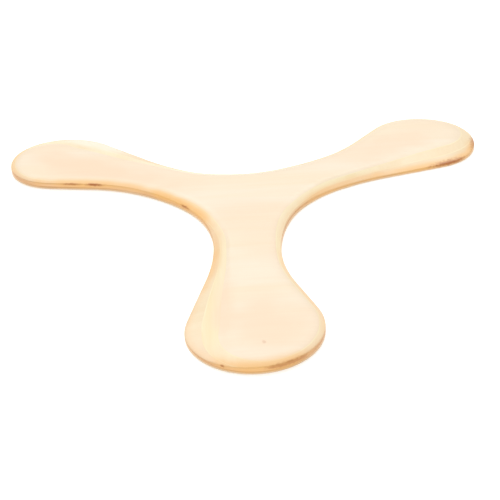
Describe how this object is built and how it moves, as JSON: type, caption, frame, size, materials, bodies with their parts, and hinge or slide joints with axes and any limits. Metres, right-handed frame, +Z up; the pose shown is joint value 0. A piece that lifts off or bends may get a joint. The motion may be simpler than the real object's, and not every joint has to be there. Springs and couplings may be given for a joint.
{
  "type": "boomerang",
  "caption": "Flat wooden boomerang with paddle-shaped blades around a hub, carved from laminated plywood with rounded leading edges and long bevelled trailing edges, for throwing by hand.",
  "frame": {"origin": "centre of the hub, on the flat underside", "axes": "+Z up out of the upper face; the first blade points along -Y, the others 120 degrees on either side; each blade's leading edge is its anticlockwise side seen from +Z"},
  "size_m": [0.2681, 0.2408, 0.005],
  "materials": {
    "face_birch": "sanded pale birch veneer, grain along X, clear satin lacquer",
    "cross_birch": "birch cross veneer, grain along Y, carved and sanded where it shows, clear satin lacquer",
    "core_birch": "birch core veneer, grain along X, carved and sanded where it shows, clear satin lacquer",
    "glue_film": "cured brown glue film, seen edge on as a thin line"
  },
  "bodies": {
    "root": {"back_veneer": "face_birch", "back_glue": "glue_film", "lower_cross_veneer": "cross_birch", "lower_core_glue": "glue_film", "core_veneer": "core_birch", "upper_core_glue": "glue_film", "upper_cross_veneer": "cross_birch", "face_glue": "glue_film", "face_veneer": "face_birch"}
  },
  "joints": []
}
